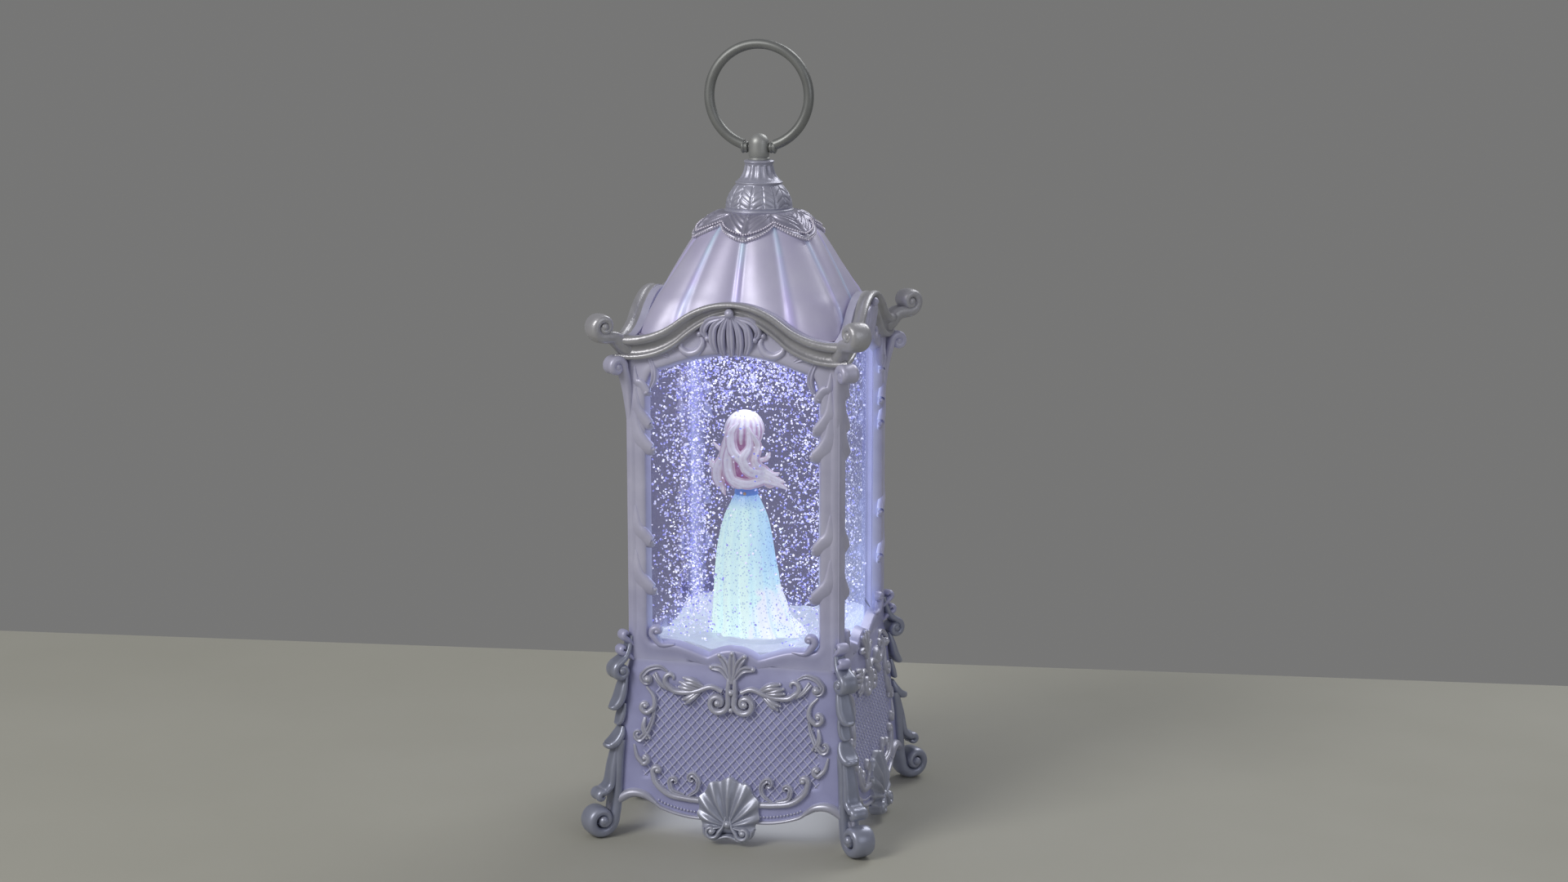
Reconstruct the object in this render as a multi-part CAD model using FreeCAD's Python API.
import FreeCAD, Part
import math
import os

# Musical glitter-water lantern: a square pavilion tower on scroll feet, with a sealed clear tank in
# which a figurine turns on a magnet-driven turntable while a small impeller stirs the glitter.
# Millimetres. The origin is on the table under the tower's axis, +Z is up, the front faces -Y.

Vector = FreeCAD.Vector

# Tower: four window frames round the tank, with a pilaster over each corner joint
TOWER_HALF = 50.0
FRAME_THICK = 3.5
BASE_TOP_Z = 84.0
PILASTER_R = 4.0
PILASTER_EAR_R = 4.6
PILASTER_EAR_WIDE = 8.0
PILASTER_EAR_OUT = 2.7
PILASTER_EAR_DROP = 4.4

# Window: the width of the stile beside it, and its corners' heights from the base's top and the tank's top
WINDOW_STILE = 9.0
WINDOW_SILL = 3.0
WINDOW_SILL_RISE = 8.0
WINDOW_SILL_POINT = 12.0
WINDOW_HEAD_DROP = 5.0
WINDOW_HEAD_SAG = 6.0
WINDOW_SHOULDER = 11.0

# Tank: a clear box, open below, closed by a floor with a gasket and screws
TANK_GAP = 0.3
TANK_WALL = 2.4
TANK_HEIGHT = 149.7
TANK_EDGE_R = 5.0
FLANGE_OUT = 1.8
FLANGE_THICK = 2.5
FLANGE_EDGE_R = 3.0
FLOOR_THICK = 3.0
GASKET_WIDE = 1.1
GASKET_DEEP = 1.2
GASKET_INSET = 0.2
PLUG_R = 4.0
PLUG_HEAD_R = 5.0
PLUG_HEAD_THICK = 1.5
WATER_GAP = 0.05

# Cornice: an arched rail on each side, and a scroll on each corner
CORNICE_ABOVE_TANK = 2.3
CORNICE_RISE = 17.0
CORNICE_HIGH = 7.0
CORNICE_OUT = 6.0
CORNICE_PANEL_DROP = 0.6
CORNICE_SCROLL_R = 6.5
CORNICE_SCROLL_WIDE = 9.0
CORNICE_SCROLL_OUT = 3.0
CORNICE_SCROLL_LIFT = 5.0

# Roof: plate, dome, leaf collar, finial and knob
ROOF_PLATE_THICK = 2.0
ROOF_LIGHT_HOLE_R = 12.0
DOME_HEIGHT = 51.3
DOME_WALL = 2.0
CROWN_R = 21.0
COLLAR_THICK = 1.6
COLLAR_STANDOFF = 3.1
COLLAR_DROP = 9.5
COLLAR_SKIRT = 1.6
COLLAR_LIP = 0.5
FINIAL_R = 16.2
FINIAL_BELL_HIGH = 13.4
FINIAL_NECK_HIGH = 10.5
FINIAL_SHOULDER_R = 10.5
FINIAL_NECK_R = 6.7
KNOB_R = 4.8
KNOB_HIGH = 12.4
KNOB_STEM_R = 2.5
KNOB_STEM_LONG = 5.0
SCREW_R = 1.5
SCREW_HEAD_R = 3.0
SCREW_HEAD_HIGH = 1.8

# Ring handle, swinging on two stubs in the knob's cross bore
RING_R = 23.7
RING_WIRE_R = 2.4
RING_STUB_R = 1.5
RING_STUB_LONG = 3.4
RING_COLLAR_R = 2.9
RING_COLLAR_LONG = 3.2
RING_PIVOT_UP = 5.9

# Base: a flared shell with a shelf under the tank, on four scroll legs
BASE_LEDGE = 1.5
BASE_FLARE = 6.5
BASE_BOTTOM_Z = 10.0
BASE_WALL = 2.4
SHELF_THICK = 2.0
ARCH_R = 9.0
ARCH_FROM_CORNER = 9.0
FOOT_OUT = 4.0
FOOT_SCROLL_R = 8.0
FOOT_SCROLL_WIDE = 13.0
FOOT_FLAT = 0.35
LEG_WIDE = 10.0
LEG_DEEP = 3.6
LEG_NECK = 6.0
LEG_VOLUTE_R = 4.6
LEG_VOLUTE_OUT = 9.6
LEG_VOLUTE_DROP = 4.6
LEG_SPUR_LONG = 5.0
LEG_SPUR_HIGH = 4.5
LEG_SPUR_DROPS = (22.0, 39.0)
MEDALLION_R = 14.3
MEDALLION_Z = 16.6
MEDALLION_THICK = 6.0
MEDALLION_CURL_R = 4.0
MEDALLION_CURL_X = 8.5
MEDALLION_CURL_Z = 6.4
COVER_Z = 18.0
COVER_THICK = 2.5
COLUMN_R = 4.0
COLUMN_ALONG = 12.0
COLUMN_BITE = 2.2

# Turntable and figurine inside the tank
SPINDLE_R = 1.5
SPINDLE_SUNK = 2.0
RUN_GAP = 0.05
LIFT_GAP = 0.4
TURNTABLE_R = 20.0
TURNTABLE_HIGH = 8.1
TURNTABLE_SKIN = 2.0
TURNTABLE_HUB_R = 4.0
MAGNET_R = 3.0
MAGNET_THICK = 2.5
MAGNET_INSET = 7.0
MAGNET_COUNT = 4
FIGURE_WAIST_Z = 67.0
FIGURE_HEAD_R = 8.3
FIGURE_NECK_R = 2.6
FIGURE_OFF_X = -5.0
FIGURE_LEAN_X = -2.2
FIGURE_ARM_R = 1.9
HAIR_GAP = 0.15
FIGURE_HEAD_Z = 29.0
FIGURE_SWEEP_R = 30.0
FIGURE_SWEEP_HIGH = 116.0

# Impeller and its drive
IMPELLER_R = 8.5
IMPELLER_HIGH = 4.0
IMPELLER_HUB_R = 3.2
IMPELLER_BLADE = 1.2
IMPELLER_BLADES = 6
IMPELLER_PIN_R = 1.0
IMPELLER_POCKET_GAP = 0.8
DRIVER_GAP = 0.7
DRIVER_R = 18.0
DRIVER_THICK = 3.8
PUCK_R = 9.0
PUCK_THICK = 3.3
MOUND_GAP = 1.0
MOUND_WALL = 2.2
MOUND_SKIN_Z = 7.0
MOUND_HEAP_Z = 13.5
MOUND_SIDE_GAP = 0.3

# Gear train from the motor to the turntable's driver
GEAR_MODULE = 0.6
GEAR_TEETH = 46
PINION_TEETH = 14
GEAR_THICK = 3.0
GEAR_LEVEL_GAP = 1.0
GEAR_PRESSURE_DEG = 20.0
GEAR_ADDENDUM = 0.8
GEAR_DEDENDUM = 1.15
GEAR_BACKLASH = 0.05
MOTOR_R = 10.0
MOTOR_HIGH = 20.0
MOTOR_SHAFT_R = 1.0
MOTOR_SHAFT_SUNK = 6.0
PRESS_GAP = 0.02
PLATE_THICK = 2.5
PLATE_POST_R = 4.0
PLATE_PEG_R = 3.0
PLATE_POST_INSET = 14.2
PLATE_EDGE = 5.0

# Light boards
BOARD_THICK = 1.2
LED_R = 2.5
LED_HIGH = 4.0
LIGHT_BOARD_HOLE_R = 20.0
LIGHT_BOARD_INSET = 7.2
LED_INSET = 3.0
ROOF_BOARD_R = 15.0
ROOF_LED_RING = 7.0
ROOF_LED_COUNT = 4
LEAD_R = 0.8
LEAD_BEND_R = 5.0
LEAD_GAP = 0.15

# Battery bay, door, switches and sound
CELL_R = 7.1
CELL_LONG = 49.0
CELL_NUB_R = 2.6
CELL_NUB_LONG = 1.2
CELL_COUNT = 3
CELL_GAP = 0.3
CONTACT_ROOM = 4.2
CONTACT_THICK = 0.5
TRAY_WALL = 1.5
TRAY_BACK_Y = -0.3
DOOR_THICK = 1.8
DOOR_GAP = 0.2
DOOR_LIP = 1.6
HINGE_R = 1.9
HINGE_PIN_R = 1.0
HINGE_KNUCKLE_LONG = 27.0
HINGE_EAR_LONG = 8.0
HINGE_SIDE_GAP = 0.3
HINGE_PIN_LONG = 5.0
SPEAKER_R = 13.0
SPEAKER_HIGH = 7.0
SPEAKER_X = -30.0
SPEAKER_Y = 27.0
GRILLE_HOLE_R = 1.4
GRILLE_RING_R = 6.5
GRILLE_HOLES = 6
CIRCUIT_X = (12.0, 36.0)
CIRCUIT_LONG = 44.0
CIRCUIT_BACK_GAP = 3.5
CIRCUIT_ABOVE_COVER = 11.5
CIRCUIT_POST_R = 2.2
CIRCUIT_POST_INSET = 2.5
SWITCH_X = 20.0
SWITCH_FROM_BACK = 20.0
SWITCH_LONG = 12.0
SWITCH_WIDE = 6.0
SWITCH_HIGH = 5.0
SLIDER_LONG = 4.0
SLIDER_WIDE = 3.0
SLIDER_TRAVEL = 4.0
SLIDER_GAP = 0.25
SLIDER_BELOW_COVER = 1.6
BUTTON_X = 29.0
BUTTON_FROM_BACK = 34.0
BUTTON_R = 4.0
BUTTON_FLANGE_R = 5.2
BUTTON_FLANGE_THICK = 1.5
BUTTON_STEM_R = 2.6
BUTTON_TRAVEL = 1.5
BUTTON_GAP = 0.3
BUTTON_BELOW_COVER = 2.4
TACT_WIDE = 6.0
TACT_HIGH = 3.5
CHIP_WIDE = 6.0
CHIP_LONG = 10.0
CHIP_HIGH = 1.2
USB_WIDE = 9.0
USB_HIGH = 3.2
USB_LONG = 9.5
USB_GAP = 0.3

# Levels and half widths that follow from the sizes above
WINDOW_HALF = TOWER_HALF - WINDOW_STILE
BASE_TOP_HALF = TOWER_HALF + BASE_LEDGE
BASE_FOOT_HALF = BASE_TOP_HALF + BASE_FLARE
FOOT_REACH = BASE_FOOT_HALF + FOOT_OUT
MAGNET_RING_R = TURNTABLE_R - MAGNET_INSET
IMPELLER_Y = TURNTABLE_R + MOUND_GAP + MOUND_WALL + IMPELLER_POCKET_GAP + IMPELLER_R
TANK_HALF = TOWER_HALF - FRAME_THICK - TANK_GAP
TANK_INNER = TANK_HALF - TANK_WALL
FLANGE_HALF = TANK_HALF + FLANGE_OUT
SHELF_BOTTOM_Z = BASE_TOP_Z - SHELF_THICK
WATER_FLOOR_Z = SHELF_BOTTOM_Z - FLANGE_THICK
FLOOR_BOTTOM_Z = WATER_FLOOR_Z - FLOOR_THICK
TANK_TOP_Z = BASE_TOP_Z + TANK_HEIGHT
CORNICE_LOW_Z = TANK_TOP_Z + CORNICE_ABOVE_TANK
ROOF_PLATE_TOP_Z = TANK_TOP_Z + ROOF_PLATE_THICK
CROWN_Z = ROOF_PLATE_TOP_Z + DOME_HEIGHT
FINIAL_Z = CROWN_Z + COLLAR_THICK
KNOB_Z = FINIAL_Z + FINIAL_BELL_HIGH + FINIAL_NECK_HIGH
PIVOT_Z = KNOB_Z + RING_PIVOT_UP
COVER_TOP_Z = COVER_Z + COVER_THICK
COLUMN_AT = FLANGE_HALF - 1.25 * COLUMN_R
DRIVER_TOP_Z = FLOOR_BOTTOM_Z - DRIVER_GAP
GEAR_TOP_Z = DRIVER_TOP_Z - DRIVER_THICK - GEAR_LEVEL_GAP
GEAR_LOW_Z = GEAR_TOP_Z - GEAR_THICK
IDLER_TOP_Z = GEAR_LOW_Z - GEAR_LEVEL_GAP
IDLER_LOW_Z = IDLER_TOP_Z - GEAR_THICK
PLATE_TOP_Z = IDLER_LOW_Z - GEAR_LEVEL_GAP
PLATE_Z = PLATE_TOP_Z - PLATE_THICK
PLATE_POST_AT = TANK_HALF - PLATE_POST_INSET
LIGHT_BOARD_TOP_Z = DRIVER_TOP_Z - LED_HIGH
GEAR_CENTRES = GEAR_MODULE * (GEAR_TEETH + PINION_TEETH) / 2
IDLER_Y = IMPELLER_Y / 2
IDLER_X = math.sqrt(GEAR_CENTRES**2 - IDLER_Y**2)
LEAD_AT = TOWER_HALF - FRAME_THICK - LEAD_R - LEAD_GAP

LED_RING = TANK_HALF - LIGHT_BOARD_INSET - LED_INSET
CIRCUIT_Z = COVER_TOP_Z + CIRCUIT_ABOVE_COVER

SIDES = ("front", "right", "back", "left")
CORNERS = ("front_right", "back_right", "back_left", "front_left")
AXIS = Vector(0, 0, 1)
DIAGONAL = math.sqrt(2.0)


# Helpers: simple solids, profiles and copies round the tower
def cylinder(radius, low, high, x=0.0, y=0.0):
    return Part.makeCylinder(radius, high - low, Vector(x, y, low), AXIS)


def block(x_range, y_range, z_range):
    corner = Vector(x_range[0], y_range[0], z_range[0])
    return Part.makeBox(x_range[1] - x_range[0], y_range[1] - y_range[0], z_range[1] - z_range[0], corner)


def bar_along_x(radius, x_range, y, z):
    return Part.makeCylinder(radius, x_range[1] - x_range[0], Vector(x_range[0], y, z), Vector(1, 0, 0))


def rounded_square(half, corner, z):
    """A square wire with round corners, starting at the middle of its right side's lower half."""
    flat = half - corner
    edges = []
    for turn in range(4):
        angle = math.radians(90 * turn)
        ends = [(half, -flat), (half, flat)]
        arc = [(half, flat), (flat + corner / DIAGONAL, flat + corner / DIAGONAL), (flat, half)]
        place = [
            Vector(x * math.cos(angle) - y * math.sin(angle), x * math.sin(angle) + y * math.cos(angle), z)
            for x, y in ends + arc
        ]
        edges.append(Part.LineSegment(place[0], place[1]).toShape())
        edges.append(Part.Arc(place[2], place[3], place[4]).toShape())
    return Part.Wire(edges)


def square_prism(half, corner, low, high):
    face = Part.Face(rounded_square(half, corner, low))
    return face.extrude(Vector(0, 0, high - low))


def plain_square(half, low, high):
    return block((-half, half), (-half, half), (low, high))


def revolved(profile):
    """A solid of revolution round the axis from (radius, height) points."""
    points = [Vector(r, 0, z) for r, z in profile]
    face = Part.Face(Part.makePolygon(points + points[:1]))
    return face.revolve(Vector(0, 0, 0), AXIS, 360)


def turned(shape, quarter):
    """A copy of the shape, turned by quarter turns about the axis."""
    copy = shape.copy()
    copy.rotate(Vector(0, 0, 0), AXIS, 90 * quarter)
    return copy


def on_corners(shape):
    """Four copies of a shape that was made on the diagonal towards +X -Y, one for each corner."""
    return {name: turned(shape, quarter) for quarter, name in enumerate(CORNERS)}


def on_sides(shape):
    return {name: turned(shape, quarter) for quarter, name in enumerate(SIDES)}


def diagonal_disc(radius, wide, out, z):
    """A disc standing on the front right diagonal, its axis level and square to that diagonal."""
    reach = out / DIAGONAL
    across = Vector(1, 1, 0).normalize()
    start = Vector(reach, -reach, z) - across * (wide / 2)
    return Part.makeCylinder(radius, wide, start, across)


def diagonal_plate(outline, wide):
    """A plate on the front right diagonal from (distance out, height) points, wide across it."""
    across = Vector(1, 1, 0).normalize()
    points = [Vector(d / DIAGONAL, -d / DIAGONAL, z) - across * (wide / 2) for d, z in outline]
    face = Part.Face(Part.makePolygon(points + points[:1]))
    return face.extrude(across * wide)


def ellipse_loft(sections):
    """A smooth solid through level ellipses: (height, centre x, centre y, radius x, radius y)."""
    wires = []
    for z, x, y, rx, ry in sections:
        major = max(rx, ry)
        ellipse = Part.Ellipse(Vector(0, 0, 0), major, min(rx, ry))
        wire = Part.Wire(ellipse.toShape())
        if ry > rx:
            wire.rotate(Vector(0, 0, 0), AXIS, 90)
        wire.translate(Vector(x, y, z))
        wires.append(wire)
    return Part.makeLoft(wires, True)


def bent_rod(start, middle, end, radius):
    """A round rod along an arc through three points."""
    arc = Part.Arc(Vector(*start), Vector(*middle), Vector(*end)).toShape()
    section = Part.makeCircle(radius, Vector(*start), arc.tangentAt(arc.FirstParameter))
    return Part.Wire(arc).makePipeShell([Part.Wire(section)], True, False)


def screw(x, y, under_head_z, length, radius=SCREW_R, head_r=SCREW_HEAD_R):
    """A screw driven upwards, its head below the given level."""
    shank = cylinder(radius, under_head_z, under_head_z + length, x, y)
    head = cylinder(head_r, under_head_z - SCREW_HEAD_HIGH, under_head_z, x, y)
    return head.fuse(shank).removeSplitter()


def round_spots(count, radius, first=0.0):
    """Evenly spaced points on a circle; first is the first one's place in steps."""
    angles = [2 * math.pi * (k + first) / count for k in range(count)]
    return [(radius * math.cos(angle), radius * math.sin(angle)) for angle in angles]


def four_way(x, y):
    return [(x, y), (-x, y), (-x, -y), (x, -y)]


# Base shell, legs and medallions
def base_half(z):
    share = (BASE_TOP_Z - z) / (BASE_TOP_Z - BASE_BOTTOM_Z)
    return BASE_TOP_HALF + (BASE_FOOT_HALF - BASE_TOP_HALF) * share


def base_frustum(inset, low, high):
    wires = []
    for z in (low, high):
        half = base_half(z) - inset
        corners = [Vector(x, y, z) for x, y in four_way(half, half)]
        wires.append(Part.makePolygon(corners + corners[:1]))
    return Part.makeLoft(wires, True, True)


def make_base_shell():
    shell = base_frustum(0, BASE_BOTTOM_Z, BASE_TOP_Z)
    shell = shell.cut(base_frustum(BASE_WALL, BASE_BOTTOM_Z - 1, SHELF_BOTTOM_Z))
    opening = TANK_HALF + TANK_GAP
    shell = shell.cut(plain_square(opening, SHELF_BOTTOM_Z - 1, BASE_TOP_Z + 1))
    reach = 2 * BASE_FOOT_HALF
    arch_x = BASE_FOOT_HALF - ARCH_FROM_CORNER
    for x in (-arch_x, arch_x):
        arch = Part.makeCylinder(ARCH_R, reach, Vector(x, -reach / 2, BASE_BOTTOM_Z), Vector(0, 1, 0))
        shell = shell.cut(arch).cut(turned(arch, 1))
    return shell.cut(usb_slot())


def make_leg():
    top_out = BASE_TOP_HALF * DIAGONAL
    foot_out = FOOT_REACH * DIAGONAL
    foot_z = FOOT_SCROLL_R - FOOT_FLAT

    def edge_out(z):
        return base_half(z) * DIAGONAL + LEG_DEEP

    outline = [(top_out - LEG_DEEP, BASE_TOP_Z), (top_out + LEG_DEEP, BASE_TOP_Z)]
    for drop in LEG_SPUR_DROPS:
        tip_z = BASE_TOP_Z - drop
        outline.append((edge_out(tip_z + LEG_SPUR_HIGH), tip_z + LEG_SPUR_HIGH))
        outline.append((edge_out(tip_z) + LEG_SPUR_LONG, tip_z))
        outline.append((edge_out(tip_z - LEG_SPUR_HIGH), tip_z - LEG_SPUR_HIGH))
    outline.append((foot_out + LEG_NECK / 2, foot_z))
    outline.append((foot_out - LEG_NECK, foot_z))
    outline.append((base_half(COVER_Z) * DIAGONAL - LEG_DEEP, COVER_Z))
    leg = diagonal_plate(outline, LEG_WIDE)
    volute_out = top_out + LEG_VOLUTE_OUT - LEG_VOLUTE_R
    leg = leg.fuse(diagonal_disc(LEG_VOLUTE_R, LEG_WIDE, volute_out, BASE_TOP_Z - LEG_VOLUTE_DROP))
    leg = leg.fuse(diagonal_disc(FOOT_SCROLL_R, FOOT_SCROLL_WIDE, foot_out, foot_z))
    leg = leg.cut(base_frustum(0, BASE_BOTTOM_Z, BASE_TOP_Z))
    return leg.cut(plain_square(2 * BASE_FOOT_HALF, -FOOT_SCROLL_R, 0)).removeSplitter()


def make_medallion():
    """The scallop at the foot of the front panel, seated on the sloping face."""
    front = base_half(MEDALLION_Z) + MEDALLION_THICK
    start = Vector(0, -front, MEDALLION_Z)
    back = Vector(0, 1, 0)
    shape = Part.makeCylinder(MEDALLION_R, front, start, back)
    for x in (-MEDALLION_CURL_X, MEDALLION_CURL_X):
        curl = Part.makeCylinder(MEDALLION_CURL_R, front, Vector(x, -front, MEDALLION_CURL_Z), back)
        shape = shape.fuse(curl)
    shape = shape.cut(base_frustum(0, BASE_BOTTOM_Z, BASE_TOP_Z))
    behind = base_half(BASE_BOTTOM_Z)
    return shape.cut(plain_square(behind, 0, BASE_BOTTOM_Z)).removeSplitter()


# Tower: frames, pilasters, cornice rails and corner scrolls
def wave_edges(lift, reach):
    """Edges of the arched line from left to right: a round crest between two round hollows."""
    quarter = TOWER_HALF / 2
    drop = CORNICE_RISE / 2
    sweep = 2 * math.atan(drop / quarter)
    radius = quarter / math.sin(sweep)
    top = CORNICE_LOW_Z + CORNICE_RISE + lift
    low = CORNICE_LOW_Z + lift

    def crest(x):
        return Vector(x, 0, top - radius + math.sqrt(radius**2 - x**2))

    def hollow(x):
        return Vector(x, 0, low + radius - math.sqrt(radius**2 - (abs(x) - TOWER_HALF) ** 2))

    middle = (quarter + reach) / 2
    return [
        Part.Arc(hollow(-reach), hollow(-middle), hollow(-quarter)).toShape(),
        Part.Arc(crest(-quarter), crest(0), crest(quarter)).toShape(),
        Part.Arc(hollow(quarter), hollow(middle), hollow(reach)).toShape(),
    ]


def end_points(edges):
    return edges[0].Vertexes[0].Point, edges[-1].Vertexes[-1].Point


def mitred(solid, low, high):
    """Keeps the front quarter of a solid, between the two front diagonals."""
    reach = 2 * TOWER_HALF
    points = [Vector(0, 0, low), Vector(reach, -reach, low), Vector(-reach, -reach, low)]
    wedge = Part.Face(Part.makePolygon(points + points[:1])).extrude(Vector(0, 0, high - low))
    return solid.common(wedge)


def window_outline():
    sill = BASE_TOP_Z + WINDOW_SILL
    ledge = sill + WINDOW_SILL_RISE
    head = TANK_TOP_Z - WINDOW_HEAD_DROP
    brow = head - WINDOW_HEAD_SAG
    side = WINDOW_HALF
    inner = side - WINDOW_SHOULDER
    bulge = WINDOW_SHOULDER * (1 - 1 / DIAGONAL)

    def arc(a, b, c):
        return Part.Arc(Vector(a[0], 0, a[1]), Vector(b[0], 0, b[1]), Vector(c[0], 0, c[1])).toShape()

    def line(a, b):
        return Part.LineSegment(Vector(a[0], 0, a[1]), Vector(b[0], 0, b[1])).toShape()

    point = WINDOW_SILL_POINT
    between = ((side + point) / 2, sill + 0.7 * WINDOW_SILL_RISE)
    return [
        arc((-point, sill), (0, sill + WINDOW_SILL_RISE / 2), (point, sill)),
        arc((point, sill), between, (side, ledge)),
        line((side, ledge), (side, brow - WINDOW_SHOULDER)),
        arc((side, brow - WINDOW_SHOULDER), (side - bulge, brow - bulge), (inner, brow)),
        arc((inner, brow), (0, head), (-inner, brow)),
        arc((-inner, brow), (bulge - side, brow - bulge), (-side, brow - WINDOW_SHOULDER)),
        line((-side, brow - WINDOW_SHOULDER), (-side, ledge)),
        arc((-side, ledge), (-between[0], between[1]), (-point, sill)),
    ]


def make_frame():
    """The front window frame: a mitred plate with an arched top edge and the window through it."""
    top = wave_edges(-CORNICE_PANEL_DROP, TOWER_HALF)
    left, right = end_points(top)
    low_left = Vector(left.x, 0, BASE_TOP_Z)
    low_right = Vector(right.x, 0, BASE_TOP_Z)
    sides = [
        Part.LineSegment(right, low_right).toShape(),
        Part.LineSegment(low_right, low_left).toShape(),
        Part.LineSegment(low_left, left).toShape(),
    ]
    plate = Part.Face(Part.Wire(top + sides)).extrude(Vector(0, FRAME_THICK, 0))
    window = Part.Face(Part.Wire(window_outline())).extrude(Vector(0, FRAME_THICK, 0))
    frame = plate.cut(window)
    frame.translate(Vector(0, -TOWER_HALF, 0))
    return mitred(frame, BASE_TOP_Z, CORNICE_LOW_Z + 2 * CORNICE_RISE)


def make_cornice():
    """The arched rail on the front frame's face."""
    reach = TOWER_HALF + CORNICE_OUT + 1
    top = wave_edges(0, reach)
    bottom = wave_edges(-CORNICE_HIGH, reach)
    ends = [
        Part.LineSegment(end_points(top)[1], end_points(bottom)[1]).toShape(),
        Part.LineSegment(end_points(bottom)[0], end_points(top)[0]).toShape(),
    ]
    outline = Part.Wire(Part.__sortEdges__(top + bottom + ends))
    rail = Part.Face(outline).extrude(Vector(0, -CORNICE_OUT, 0))
    rail.translate(Vector(0, -TOWER_HALF, 0))
    return mitred(rail, CORNICE_LOW_Z - 2 * CORNICE_HIGH, CORNICE_LOW_Z + 2 * CORNICE_RISE)


def make_cornice_scroll(rails):
    out = (TOWER_HALF + CORNICE_OUT + CORNICE_SCROLL_OUT) * DIAGONAL
    scroll = diagonal_disc(CORNICE_SCROLL_R, CORNICE_SCROLL_WIDE, out, CORNICE_LOW_Z + CORNICE_SCROLL_LIFT)
    for rail in rails:
        scroll = scroll.cut(rail)
    return scroll.cut(plain_square(TOWER_HALF + CORNICE_OUT, 0, KNOB_Z))


def make_pilaster():
    top = CORNICE_LOW_Z - CORNICE_HIGH
    column = cylinder(PILASTER_R, BASE_TOP_Z, top, TOWER_HALF, -TOWER_HALF)
    ear_out = (TOWER_HALF + PILASTER_EAR_OUT) * DIAGONAL
    ear = diagonal_disc(PILASTER_EAR_R, PILASTER_EAR_WIDE, ear_out, top - PILASTER_EAR_DROP)
    column = column.fuse(ear.cut(plain_square(2 * TOWER_HALF, top, top + 2 * PILASTER_EAR_R)))
    return column.cut(plain_square(TOWER_HALF, 0, KNOB_Z)).removeSplitter()


# Roof: plate, dome, collar, finial, knob and ring
# Dome levels from eaves to crown: share of the height, share of the spread, roundness of the square
DOME_PROFILE = (
    (0.0, 1.0, 0.15),
    (0.35, 0.853, 0.4),
    (0.58, 0.615, 0.75),
    (0.8, 0.337, 0.96),
    (1.0, 0.0, 0.97),
)


def dome_body(inset, height):
    """The dome's solid form: square with round corners at the eaves, nearly round at the crown."""
    wires = []
    for level, spread, roundness in DOME_PROFILE:
        half = CROWN_R + (TANK_HALF - CROWN_R) * spread - inset
        wires.append(rounded_square(half, half * roundness, ROOF_PLATE_TOP_Z + height * level))
    return Part.makeLoft(wires, True)


def make_roof_dome():
    dome = dome_body(0, DOME_HEIGHT).cut(dome_body(DOME_WALL, DOME_HEIGHT - DOME_WALL))
    return dome.cut(cylinder(SCREW_R + RUN_GAP, ROOF_PLATE_TOP_Z, CROWN_Z + 1)).cut(lead_room())


def make_roof_plate():
    plate = square_prism(TANK_HALF, TANK_EDGE_R, TANK_TOP_Z, ROOF_PLATE_TOP_Z)
    plate = plate.cut(cylinder(ROOF_LIGHT_HOLE_R, TANK_TOP_Z - 1, ROOF_PLATE_TOP_Z + 1))
    return plate.cut(lead_room())


def dome_half(level):
    """The dome's half width at a share of its height, straight between the profile's levels."""
    spread = 0.0
    for (low, wide, _), (high, narrow, _) in zip(DOME_PROFILE, DOME_PROFILE[1:]):
        if low <= level <= high:
            spread = wide + (narrow - wide) * (level - low) / (high - low)
    return CROWN_R + (TANK_HALF - CROWN_R) * spread


def make_leaf_collar():
    """A disc on the crown with a skirt that stands off the dome below it."""
    reach = dome_half(1 - COLLAR_DROP / DOME_HEIGHT) + COLLAR_STANDOFF
    profile = [
        (SCREW_R + RUN_GAP, CROWN_Z),
        (CROWN_R + COLLAR_LIP, CROWN_Z),
        (reach, CROWN_Z - COLLAR_DROP),
        (reach + COLLAR_SKIRT, CROWN_Z - COLLAR_DROP),
        (CROWN_R + COLLAR_LIP + COLLAR_SKIRT, FINIAL_Z),
        (SCREW_R + RUN_GAP, FINIAL_Z),
    ]
    return revolved(profile)


def make_finial():
    bell_top = FINIAL_Z + FINIAL_BELL_HIGH
    waist = (FINIAL_SHOULDER_R + FINIAL_NECK_R) / 2
    profile = [
        (0, FINIAL_Z),
        (FINIAL_R, FINIAL_Z),
        (FINIAL_R, FINIAL_Z + 0.2 * FINIAL_BELL_HIGH),
        (0.88 * FINIAL_R, FINIAL_Z + 0.62 * FINIAL_BELL_HIGH),
        (FINIAL_SHOULDER_R, bell_top),
        (waist, bell_top + 0.35 * FINIAL_NECK_HIGH),
        (FINIAL_NECK_R, bell_top + 0.65 * FINIAL_NECK_HIGH),
        (FINIAL_NECK_R, KNOB_Z),
        (0, KNOB_Z),
    ]
    finial = revolved(profile)
    finial = finial.cut(cylinder(SCREW_R + RUN_GAP, FINIAL_Z - 1, bell_top))
    return finial.cut(cylinder(KNOB_STEM_R + PRESS_GAP, KNOB_Z - KNOB_STEM_LONG, KNOB_Z + 1))


def make_finial_knob():
    shoulder = KNOB_Z + KNOB_HIGH - KNOB_R
    knob = cylinder(KNOB_R, KNOB_Z, shoulder).fuse(Part.makeSphere(KNOB_R, Vector(0, 0, shoulder)))
    knob = knob.fuse(cylinder(KNOB_STEM_R, KNOB_Z - KNOB_STEM_LONG, KNOB_Z)).removeSplitter()
    return knob.cut(bar_along_x(RING_STUB_R + RUN_GAP, (-2 * KNOB_R, 2 * KNOB_R), 0, PIVOT_Z))


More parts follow.
